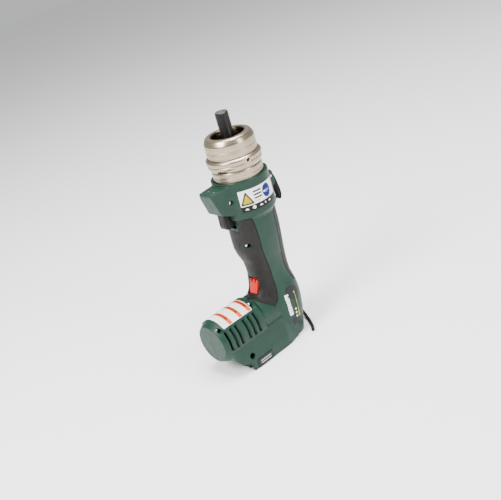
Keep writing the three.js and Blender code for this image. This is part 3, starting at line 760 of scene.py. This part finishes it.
def build_shells():
    body = outside()
    skin_source = copy_of(body, "skin_source")
    combine(body, [cavity()])
    ledge = [(57.6, MOTOR_R - 1), (57.6, MOTOR_R + 0.45), (115, MOTOR_R + 0.45), (115, MOTOR_R - 1)]
    rims = [around_barrel("rim", ledge, a, b, 6) for a, b in ((43.6, 46), (134, 136.4))]
    combine(body, rims, "UNION")
    beds = []
    for points, rounds in ((FRONT_GRIP, FRONT_ROUNDS), (REAR_GRIP, REAR_ROUNDS)):
        beds.append(combine(grip_area("bed", points, rounds, BED_GAP), [grip_core("core", BED_DEPTH)]))
    ears = [box("ear", 19.3, 24.6, -10.6, -7.3, 94.2, 101), box("ear", 19.3, 24.6, 7.3, 10.6, 94.2, 101)]
    combine(body, beds)
    combine(body, ears, "UNION")
    other = copy_of(body, "right_housing")
    combine(body, [bosses(skin_source)], "UNION")
    label_bed = [(59, MOTOR_R - 0.35), (59, MOTOR_R + 2), (113.4, MOTOR_R + 2), (113.4, MOTOR_R - 0.35)]
    for piece, side in ((body, 1), (other, -1)):
        cuts = [
            box("battery", 34, 84, -17, 17, -5, 12), box("rail", 40, 120, 26 * side, 31.5 * side, -5, 5.5),
            box("trigger_slot", 26, 57, -7.1, 7.1, 186, 217), box("switch", 40, 55, -6.6, 6.6, 212, 226),
            box("lever_slot", 12, 36, -8.6, 8.6, 80, 103.6), rod("lever_hole", 1.7, -10.2, 10.2, *LEVER_PIN),
            rod("pin_hole", 2.3, -20, 20, *LUG_PIN),
            lathe("led", [(2.6, 240), (2.6, 260)], "Z", (LAMP_X, LAMP_Y * side, 0), 32),
            vent_cutter(side), around_barrel("label_bed", label_bed, 46.5, 133.5),
            box("toe_notch", 22.6, 25.4, 35.5 * side, 40 * side, -1, 3.2),
        ]
        if side > 0:
            for (x, z), at, r in zip(SCREWS, HEADS, POCKETS):
                cuts.append(rod("screw_hole", 1.9, 0, 60, x, z, 20))
                cuts.append(rod("screw_pocket", r, at - 1, 60, x, z))
        combine(piece, cuts)
    body.name = "left_housing"
    combine(body, [box("half", -90, 170, SEAM_LEFT, 90, -10, 300)], "INTERSECT")
    combine(other, [box("half", -90, 170, -90, SEAM_RIGHT, -10, 300)], "INTERSECT")
    finished(biggest(body), green, HOUSING, ["left_shell"], 32)
    finished(biggest(other), green, HOUSING, ["right_shell"], 32)
    return skin_source


PAD_PITCH, PAD_RISE = 9, 1.15


def rear_skin():
    """The back of the grip: broad raised pads with narrow grooves between them."""
    rings = []
    count = 320
    for k in range(count + 1):
        z = 78 + (204 - 78) * k / count
        fade = min(1, max(0, (z - 84) / 5), max(0, (199 - z) / 4))
        wave = abs(math.sin(math.pi * (z - 87) / PAD_PITCH)) ** 0.45
        ring = []
        for x, y, level in loft_ring(STATIONS, z, 0.0, 160):
            spread = max(0.0, 1 - (abs(y) / 19) ** 4) if x < 0 else 0
            push = 1 + PAD_RISE * fade * wave * spread / 34
            ring.append((x * push, y, level))
        rings.append(ring)
    return rings_object("rear_skin", rings)


def build_grips(source):
    for side, word in ((1, "left"), (-1, "right")):
        for points, rounds, where in ((FRONT_GRIP, FRONT_ROUNDS, "front"), (REAR_GRIP, REAR_ROUNDS, "rear")):
            area = grip_area("area", points, rounds, -RUBBER_GAP)
            skin = rear_skin() if where == "rear" else copy_of(source, "skin")
            combine(skin, [area], "INTERSECT")
            low, high = (SEAM_LEFT, 60) if side > 0 else (-60, SEAM_RIGHT)
            combine(skin, [box("half", -90, 90, low, high, 40, 210)], "INTERSECT")
            if where == "front":
                flank = prism("flank", [(47.2, 20), (47.2, 90), (70, 90), (70, 20)], "Y", -60, 60)
                combine(skin, [flank])
            cuts = [grip_core("core", RUBBER_DEPTH)]
            if side > 0:
                cuts.append(rod("pocket", 3.4, 6, 40, *SCREWS[1]))
            combine(skin, cuts)
            skin.name = f"{word}_{where}_rubber"
            finished(biggest(skin), rubber, HOUSING, [f"{word}_{where}_grip"], 32)
    drop(source)


source = build_shells()
build_grips(source)


# ---- Films and what is printed on them ----
FILM_R = 40.3    # the collar label's own radius


def printed(name, shapes, place, low, high, step):
    """Flat shapes in millimetres, made thin solids that follow a surface."""
    made = bmesh.new()
    for shape in shapes:
        area = sum(a[0] * b[1] - b[0] * a[1] for a, b in zip(shape, shape[1:] + shape[:1]))
        points = shape if area > 0 else shape[::-1]
        face = made.faces.new([made.verts.new((u, v, 0)) for u, v in points])
        bmesh.ops.triangulate(made, faces=[face])
    lowest = min(v.co.x for v in made.verts)
    highest = max(v.co.x for v in made.verts)
    at = lowest + step
    while at < highest - 0.05:
        geom = made.verts[:] + made.edges[:] + made.faces[:]
        bmesh.ops.bisect_plane(made, geom=geom, dist=1e-5, plane_co=(at, 0, 0), plane_no=(1, 0, 0))
        at += step
    raised = bmesh.ops.extrude_face_region(made, geom=made.faces[:], use_keep_orig=True)
    for item in raised["geom"]:
        if isinstance(item, bmesh.types.BMVert):
            item.co.z = 1
    for vert in made.verts:
        spot = place(vert.co.x, vert.co.y, high if vert.co.z > 0.5 else low)
        vert.co = Vector(spot) * MM
    bmesh.ops.recalc_face_normals(made, faces=made.faces)
    return from_bmesh(name, made)


def bar(u0, u1, v0, v1, lean=0.0):
    return [(u0, v0), (u1, v0), (u1 + lean, v1), (u0 + lean, v1)]


def hoop(u, v, outer, inner, squeeze=1.0, sides=36):
    """A ring with a hair-thin slit, so that it is one outline."""
    turns = [2 * math.pi * (k + 0.01) / (sides + 0.02) for k in range(sides + 1)]
    out = [(u + outer * squeeze * math.cos(a), v + outer * math.sin(a)) for a in turns]
    back_round = [(u + inner * squeeze * math.cos(a), v + inner * math.sin(a)) for a in reversed(turns)]
    return out + back_round


def disc_shape(u, v, radius, squeeze=1.0, sides=28, start=0.0, sweep=2 * math.pi):
    turns = [start + sweep * k / sides for k in range(sides)]
    return [(u + radius * squeeze * math.cos(a), v + radius * math.sin(a)) for a in turns]


def half_disc(u, v, radius):
    return disc_shape(u, v, radius, 1, 20, 0, math.pi)


def round_collar(u, v, h):
    """u runs round the collar from its front, v is the height."""
    a = u / FILM_R
    return ((COLLAR_R + h) * math.cos(a), (COLLAR_R + h) * math.sin(a), v)


def round_barrel(u, v, h):
    """u runs over the barrel from its left, v is the place along it."""
    a = u / MOTOR_R
    return (v, (MOTOR_R + h) * math.cos(a), MOTOR_Z + (MOTOR_R + h) * math.sin(a))


def on_flank(u, v, h):
    """u is the place from back to front, v the height, on the rear housing's left."""
    return (u, side_at(u, v, h), v)


def on_foot(u, v, h):
    """u is the place from back to front, v the height, on the foot's left side."""
    return (u, FOOT_HALF + h, v)


def put_film(name, shapes, place, low, high, paint, nodes=(), step=1.2):
    body = printed(name, shapes, place, low, high, step)
    return finished(body, paint, HOUSING, nodes, 40)


def collar_marks():
    deg = FILM_R * math.pi / 180
    first, last = 40 * deg, 124 * deg
    face = rounded([(first, 218.9), (last, 218.9), (last, 241), (first, 241)], 1.2)
    base = [(first, 211), (last, 211), (last, 218.9), (first, 218.9)]
    put_film("collar_film", [face], round_collar, 0.3, 0.66, white_film, ["collar_label"])
    put_film("collar_strip", [base], round_collar, 0.3, 0.66, ink_film)

    def mark(name, shapes, paint, step=1.2, low=0.6, high=0.71):
        put_film(name, shapes, round_collar, low, high, paint, (), step)

    middle = first + 10
    frame_line = rounded([(middle - 9.8, 220.2), (middle + 9.8, 220.2), (middle, 239.4)], 2.2)
    inner = rounded([(middle - 6.6, 222.2), (middle + 6.6, 222.2), (middle, 235.2)], 1.2)
    mark("sign_edge", [frame_line], ink_film, high=0.70)
    mark("sign_fill", [inner], yellow_film, low=0.65, high=0.75)
    middle = first + 26.5
    dark = [bar(middle - 6, middle + 6, v, v + 2.2) for v in (234.6, 230, 225.4)]
    mark("sign_shapes", dark, ink_film)
    mark("sign_grey", [bar(middle - 6, middle + 2, 221.4, 223)], pale_ink)
    middle = first + 42
    mark("sign_ring", [hoop(middle, 229.8, 9.6, 7.4, 0.8)], blue_film, 0.8)
    mark("sign_core", [disc_shape(middle, 229.8, 3.4, 0.8)], pale_ink)
    signs = [
        half_disc(first + 7.2, 213.3, 2.5), hoop(first + 17.5, 215, 2.4, 1.75),
        half_disc(first + 28, 213.5, 2.4), bar(first + 34, first + 35.6, 213.6, 216.4, 0.5),
        half_disc(first + 43, 213.6, 2.2),
    ]
    mark("strip_signs", signs, white_film, 0.8)


def motor_marks():
    deg = MOTOR_R * math.pi / 180
    first, last = 47.5 * deg, 132.5 * deg
    face = rounded([(first, 59.8), (last, 59.8), (last, 112.8), (first, 112.8)], 1)
    put_film("motor_film", [face], round_barrel, -0.3, 0.05, white_film, ["motor_label"])
    bands = [bar(first + 0.5, last - 0.5, v, v + 6) for v in (96, 77.4, 60.6)]
    put_film("motor_bands", bands, round_barrel, 0, 0.10, orange_film)
    words = []
    for v in (97.3, 78.7, 61.9):
        for u, w in ((9, 6), (16, 4), (21, 7.4), (30, 5)):
            words.append(bar(first + u, first + u + w, v, v + 3.4))
    put_film("band_bars", words, round_barrel, 0.06, 0.16, rust_film)
    rows = [
        (84.9, 1), (86.9, 0.9), (88.9, 0.95), (90.9, 0.7), (92.9, 0.85), (94.9, 0.5), (102.9, 0.9),
        (104.9, 1), (106.9, 0.8), (108.9, 0.95), (110.7, 0.4), (68.4, 0.95), (70.4, 0.8), (72.4, 0.9),
        (74.4, 0.75), (76.2, 0.4),
    ]
    lines = [bar(first + 3, first + 3 + (last - first - 6) * share, v, v + 0.45) for v, share in rows]
    put_film("label_lines", lines, round_barrel, 0, 0.09, pale_ink)


def flank_marks():
    corners = [(-17.6, 20), (4.6, 21), (5, 70), (2, 79), (-12, 79.4), (-17.6, 70)]
    plate = rounded(corners, [3, 2, 3, 3, 4, 4], 5)
    put_film("flank_plate", [plate], on_flank, 0.1, 0.66, grey_film, ["side_badge"], 0.8)
    sticker = rounded([(2.4, 38), (8.4, 38), (8.4, 71), (2.4, 71)], 1.2, 5)
    put_film("flank_sticker", [sticker], on_flank, 0.2, 0.86, white_film, (), 0.8)
    greys = [bar(3.8, 7, z, z + 1.1) for z in (43, 48, 53, 58, 63)]
    put_film("sticker_lines", greys, on_flank, 0.8, 0.92, pale_ink)
    stripe = bar(-9.8, -7.2, 30, 70)
    put_film("flank_bars", [stripe], on_flank, 0.6, 0.95, lime_film, (), 0.8)
    whites = [bar(-4.6, -2, z, z + 2.6) for z in (31, 37, 43)]
    put_film("flank_pips", whites, on_flank, 0.6, 0.76, white_film, (), 0.8)


def foot_marks():
    plate = rounded([(57, 1.5), (86, 1.5), (86, 13.5), (57, 13.5)], 0.8)
    put_film("foot_film", [plate], on_foot, -0.1, 0.66, grey_film, ["foot_name_plate"])
    rows = [bar(62, 81, 8.4, 9.8), bar(62, 81, 5, 6.4)]
    put_film("foot_bars", rows, on_foot, 0.6, 0.74, pale_ink)


collar_marks()
motor_marks()
flank_marks()
foot_marks()


# ---- Steel head, ram and stud ----
def shade_inside_radius(paint, limit, colour):
    """Turns the metal to another, darker tint inside a radius: painted shade in the turned bore, where
    little light reaches.
    """
    length = paint.node("ShaderNodeVectorMath", operation="LENGTH")
    paint.link(paint.scaled((1, 1, 0)), length.inputs[0])
    mixer = paint.node("ShaderNodeMix", data_type="RGBA")
    socket = paint.shader.inputs["Base Color"]
    mixer.inputs["A"].default_value = (*colour, 1)
    paint.link(socket.links[0].from_socket, mixer.inputs["B"])
    edge = limit * MM
    blend = paint.ranged(length.outputs["Value"], 0, 1, edge - 0.0002, edge + 0.0002)
    paint.link(blend, mixer.inputs["Factor"])
    paint.link(mixer.outputs["Result"], socket)
    return paint


def turned(name, profile, rounds, sides=160):
    return lathe(name, rounded(profile, rounds, 4), "Z", (0, 0, 0), sides, True)


# The sleeve's and flange's bores get painted shade: a darker brown tint inside a radius.
sleeve_steel = shade_inside_radius(turned_metal("sleeve_nickel", NICKEL, 0.28), 24.7, (0.16, 0.115, 0.07))
flange_steel = shade_inside_radius(turned_metal("flange_nickel", NICKEL, 0.27), 28, (0.13, 0.10, 0.07))

ring = turned("pull_flange", [
    (15.6, 267), (35.3, 267), (37.3, 271), (37.3, 274.4), (36.9, 274.9), (36.9, 275.5), (38.3, 276.3),
    (38.3, 281.4), (35.7, 284), (15.6, 284),
], [0.3, 0.5, 0.8, 0.3, 0.2, 0.2, 0.5, 1.2, 1.2, 0.3])
SPANNER_Z, SPANNER_TURN = 278.2, 80
hole = lathe("spanner", [(2, 30), (2, 60)], "X", (0, 0, SPANNER_Z), 32)
sink = lathe("sink", [(2, 36.8), (3.1, 38.6), (3.1, 45)], "X", (0, 0, SPANNER_Z), 32)
for tool in (hole, sink):
    tool.data.transform(Matrix.Rotation(math.radians(SPANNER_TURN), 4, "Z"))
milled = lathe("milled", [(30, -1.2), (30, 1.2)], "Z", (0, 0, 0), 90)
MILLED_TURN, MILLED_AWAY, MILLED_Z = math.radians(38), 65, 272.6
milled_at = (MILLED_AWAY * math.cos(MILLED_TURN), MILLED_AWAY * math.sin(MILLED_TURN), MILLED_Z)
milled.data.transform(Matrix.Translation(Vector(milled_at) * MM))
combine(ring, [hole, sink, milled])
finished(ring, flange_steel, "head", ["flange_ring"], 25)

sleeve = turned("pull_sleeve", [
    (24.5, 284.4), (34.2, 284.4), (34.2, 286), (34.6, 286.5), (34.6, 293.6), (34.35, 293.9),
    (34.35, 294.5), (34.6, 294.8), (34.6, 303.4), (32.2, 308.8), (30.2, 311), (23.9, 311), (22.9, 310),
    (22.9, 307), (24.5, 306),
], [0.3, 0.2, 0.2, 0.3, 0.2, 0.15, 0.15, 0.2, 1.0, 1.6, 0.9, 0.4, 0.4, 0.3, 0.3])
finished(sleeve, sleeve_steel, "head", ["head_sleeve"], 22)

cylinder = turned("cylinder_neck", [
    (3, 196), (27, 196), (27, 210), (35, 213), (35, 257.6), (34.55, 258), (34.55, 258.8), (35, 259.2),
    (35, 264.6), (34.2, 266.6), (23, 266.6), (23, 206), (3, 206),
], [0.2, 0.6, 0.6, 0.6, 0.2, 0.15, 0.15, 0.2, 0.3, 0.6, 0.4, 0.4, 0.2])
finished(cylinder, nickel, HOUSING, ["cylinder_body"], 25)

ram = turned("ram_rod", [
    (0.02, 238), (22.6, 238), (22.6, 242), (20.4, 242), (20.4, 246), (22.6, 246), (22.6, 252), (15, 252),
    (15, 299.8), (14.2, 301), (10.6, 301), (9.8, 300), (9.8, 261), (0.02, 261),
], [0, 0.4, 0.2, 0.2, 0.2, 0.2, 0.5, 0.4, 0.5, 0.5, 0.3, 0.3, 0.2, 0])
finished(ram, steel_z, "ram", ["ram_piston"], 25)

shaft = [(0.02, 262), (8.6, 262), (9.4, 262.8)]
THREAD_PITCH = 1.5    # grooves for the thread, where the ram hides it
for k in range(12):
    at = 263.5 + k * THREAD_PITCH
    shaft += [(9.4, at), (8.7, at + THREAD_PITCH / 2)]
shaft += [(9.4, 300), (9.1, 300.8), (9.1, 339.4), (8.4, 340.1)]
stud = turned("draw_stud_body", shaft + [(0.02, 340.1)], 0, 96)
finished(stud, oxide, "ram", ["draw_stud"], 25)
cap = turned("draw_stud_end", [
    (0.02, 340.0), (8.35, 340.0), (8.2, 340.7), (7.9, 341), (1.5, 341), (0.9, 340.3), (0.02, 340.2),
], [0, 0.05, 0.2, 0.2, 0.1, 0.1, 0], 96)
finished(cap, oxide_end, "ram", (), 25)

seal = turned("ram_seal", [
    (20.7, 242.3), (22.4, 242.3), (22.7, 244), (22.4, 245.7), (20.7, 245.7),
], [0.2, 0.4, 0.6, 0.4, 0.2], 96)
finished(seal, rubber, "ram", ["piston_seal"])


# ---- Controls ----
def shaped(name, outline, rounds, half, bevel):
    ob = prism(name, rounded(outline, rounds, 5), "Y", -half, half)
    return bevelled(ob, bevel, 3, 50)


trigger = shaped("trigger_body", [
    (33.6, 192), (44, 190.5), (49, 191.4), (50.3, 195.5), (50, 201), (49.6, 213.5), (41.5, 213.5),
    (41.5, 208), (33.6, 205),
], [0.3, 2, 1.6, 2, 4, 0.5, 0.3, 0.3, 0.3], 6.5, 0.7)
grooves = [box("groove", 46.4, 47.1, y, y + 1.2, 180, 220) for y in (-7.1, 5.9)]
grooves += [box("groove", 49.6, 52, y - 0.35, y + 0.35, 194.5, 211) for y in (-3.6, 3.6)]
combine(trigger, grooves)
finished(trigger, black, "trigger_body", ["trigger"])

lever = shaped("lever", [
    (20.6, 94.6), (20.6, 99.4), (22, 100.9), (25.6, 101.6), (27.2, 100.4), (29.6, 94), (33, 85.4),
    (34.2, 82.9), (33.4, 81.9), (30, 82), (27, 85.4), (24.4, 90),
], [1, 1, 1, 1.2, 1.4, 6, 3, 0.8, 0.6, 1, 2, 2], 7, 0.6)
combine(lever, [
    box("notch", 24.6, 36, -4.7, -2.1, 96.6, 103), box("notch", 24.6, 36, 2.1, 4.7, 96.6, 103),
    rod("pin", 1.7, -10, 10, *LEVER_PIN, 32),
])
finished(lever, red, "lever_body", ["release_lever"])
# Black plates at the bottom of the lever's two notches: painted shade, a dark piece set where the notches
# only lie in shadow.
notch_shade_plates = joined("lever_inlays", [
    box("inlay", 24.5, 26.6, y - 1.34, y + 1.34, 96.5, 100.7) for y in (-3.4, 3.4)
])
finished(notch_shade_plates, black, "lever_body")


def side_turned(name, profile, x, z, sides=40):
    """A turned piece across the tool, from [radius, y]."""
    return lathe(name, profile, "Y", (x, 0, z), sides)


pin = side_turned("lever_pin_body", [
    (0.02, -9.9), (1.1, -9.9), (1.4, -9.5), (1.4, 9.5), (1.1, 9.9), (0.02, 9.9),
], *LEVER_PIN)
finished(pin, screw_steel, HOUSING, ["lever_pin"])

for index, ((x, z), at) in enumerate(zip(SCREWS, HEADS), 1):
    head = side_turned("head", [
        (0.02, -7), (1.1, -7), (1.5, -6.2), (1.5, at - 0.7), (2.2, at - 0.7), (2.5, at - 0.2),
        (2.5, at + 0.8), (2.2, at + 1.5), (1.5, at + 1.92), (0.6, at + 2), (0.02, at + 2),
    ], x, z, 48)
    star = []
    for k in range(24):
        a = 2 * math.pi * k / 24
        r = 1.2 + 0.22 * math.cos(6 * a)
        star.append((x + r * math.cos(a), z + r * math.sin(a)))
    combine(head, [prism("star", star, "Y", at + 0.8, at + 4)])
    head.name = f"screw_{index}"
    finished(head, screw_steel, HOUSING, [f"shell_screw_{index}"])

glass_outline = rounded([
    (0.02, 244), (2.3, 244), (2.3, 248.4), (1.6, 249.1), (0.02, 249.2),
], [0, 0.2, 0.3, 0.6, 0], 3)
for index, y in enumerate((-LAMP_Y, LAMP_Y), 1):
    glass = lathe("glass", glass_outline, "Z", (LAMP_X, y, 0), 40)
    glass.name = f"lamp_glass_{index}"
    finished(glass, lens, HOUSING, [f"work_light_lens_{index}"])

switch = bevelled(box("switch_case", 45, 52.8, -6, 6, 214.2, 236), 0.6, 2)
combine(switch, [box("rib", 44, 46, -7, 7, z, z + 0.8) for z in (218, 222, 226, 230)])
finished(switch, black, HOUSING, ["trigger_switch"])

# ---- Lanyard loop and its pin ----
web = prism("webbing_loop", rounded([
    (-41.4, 226), (-41.4, 232), (-44, 236.5), (-48, 238), (-52, 235), (-56.2, 224), (-58.8, 212),
    (-60.6, 200.6), (-60, 193), (-57.8, 188.6), (-54.6, 189), (-53.4, 199), (-52.8, 208), (-50.8, 217),
    (-48.5, 223.4), (-45, 224.4),
], [2, 3, 3, 3, 3, 4, 4, 4, 3, 1.5, 1.5, 4, 4, 4, 2, 2], 5), "Y", -3.4, 3.4)
bevelled(web, 0.5, 2, 50)
combine(web, [rod("pin", 2.3, -9, 9, *LUG_PIN)])
finished(web, webbing, HOUSING, ["strap_loop"], 35)
stitches = []
for k in range(9):
    t = k / 8
    x, z = -55.6 - 4.4 * t, 218 - 22 * t
    outline = [(x - 0.9, z - 0.3), (x + 0.9, z + 0.1), (x + 0.9, z + 0.6), (x - 0.9, z + 0.2)]
    for y in (-3.55, 3.1):
        stitches.append(prism("stitch", outline, "Y", y, y + 0.45))
thread = joined("loop_stitches", stitches)
finished(thread, rubber, HOUSING)
peg = side_turned("lug_pin", [
    (0.02, -8.3), (1.6, -8.3), (2, -7.9), (2, 7.9), (1.6, 8.3), (0.02, 8.3),
], *LUG_PIN)
finished(peg, screw_steel, HOUSING, ["strap_pin"])

# ---- Battery terminals ----
block = bevelled(box("terminal_body", 38, 80, -15.5, 15.5, 1.5, 14), 0.7, 2)
combine(block, [box("slot", 46, 100, y - 2.4, y + 2.4, -2, 9) for y in BLADES_Y])
finished(block, black, HOUSING, ["battery_terminal_block"])
for index, y in enumerate(BLADES_Y, 1):
    blade = bevelled(box("blade", 50, 76, y - 0.6, y + 0.6, 3, 8.7), 0.35, 2)
    blade.name = f"blade_{index}"
    finished(blade, copper, HOUSING, [f"terminal_blade_{index}"])

# ---- Return spring: on the tool it closes up as the ram draws down; here it is one fixed helix ----
SPRING_TURNS, SPRING_R, SPRING_WIRE = 4, 17, 1
SPRING_LOW, SPRING_HIGH = 207.4, 236.6
PER_TURN = 24
coils = []
for k in range(SPRING_TURNS * PER_TURN + 1):
    a = k * math.pi / 12
    rise = (SPRING_HIGH - SPRING_LOW) * k / (SPRING_TURNS * PER_TURN)
    coils.append(Vector((SPRING_R * math.cos(a), SPRING_R * math.sin(a), SPRING_LOW + rise)))
spring = rings_object("ram_spring", [round_ring(at, SPRING_WIRE, 8) for at in frames_along(coils)])
finished(spring, spring_steel, HOUSING, ["ram_return_spring"], 50)
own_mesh(spring)

# ---- What the housing hides keeps its CAD shape ----
INSIDE = {
    steel: [
        "relief_valve_pin", "motor_drive_bell", "motor_drive_bearing", "motor_brush_bearing", "motor_shaft",
        "sun_pinion", "planet_gear_1", "planet_gear_2", "planet_gear_3", "ring_gear", "planet_carrier",
        "eccentric_bearing", "tail_bearing", "carrier_bearing",
    ],
    steel_z: ["pump_block", "pump_plunger"], blued_steel: ["motor_can"], copper: ["armature", "commutator"],
    black: ["motor_brush_bell", "cooling_fan"], rubber: ["oil_reservoir"], board: ["control_board"],
}
for paint, nodes in INSIDE.items():
    for node in nodes:
        for slot in bpy.data.objects[node].material_slots:
            slot.material = paint.mat

# ---- Floor and light ----
floor = box("floor", -6000, 6000, -6000, 6000, -60, 0)
floor_paint = Paint("floor_paper", (0.90, 0.90, 0.895), 0.85)
floor_paint.vary_colour(floor_paint.noise(3, 2), (0.895, 0.895, 0.89), (0.905, 0.905, 0.90))
wear(floor, floor_paint)

world = bpy.data.worlds.new("studio")
world.use_nodes = True
world.node_tree.nodes["Background"].inputs["Color"].default_value = (0.97, 0.98, 1, 1)
world.node_tree.nodes["Background"].inputs["Strength"].default_value = 0.6
bpy.context.scene.world = world


def soft_light(name, place, target, size, power, colour=(1, 1, 1)):
    data = bpy.data.lights.new(name, "AREA")
    data.shape = "RECTANGLE"
    data.size, data.size_y = size
    data.energy = power
    data.color = colour
    ob = in_scene(name, data)
    ob.location = place
    ob.rotation_euler = (Vector(target) - Vector(place)).to_track_quat("-Z", "Y").to_euler()


soft_light("key", (1.3, 0.1, 1.3), (0.03, 0, 0.15), (0.7, 0.7), 55)
soft_light("top", (-0.1, 0.3, 2.0), (0, 0, 0.15), (1.4, 1.4), 100)
soft_light("side", (-0.3, 1.6, 0.7), (0, 0, 0.15), (0.4, 1.2), 16)
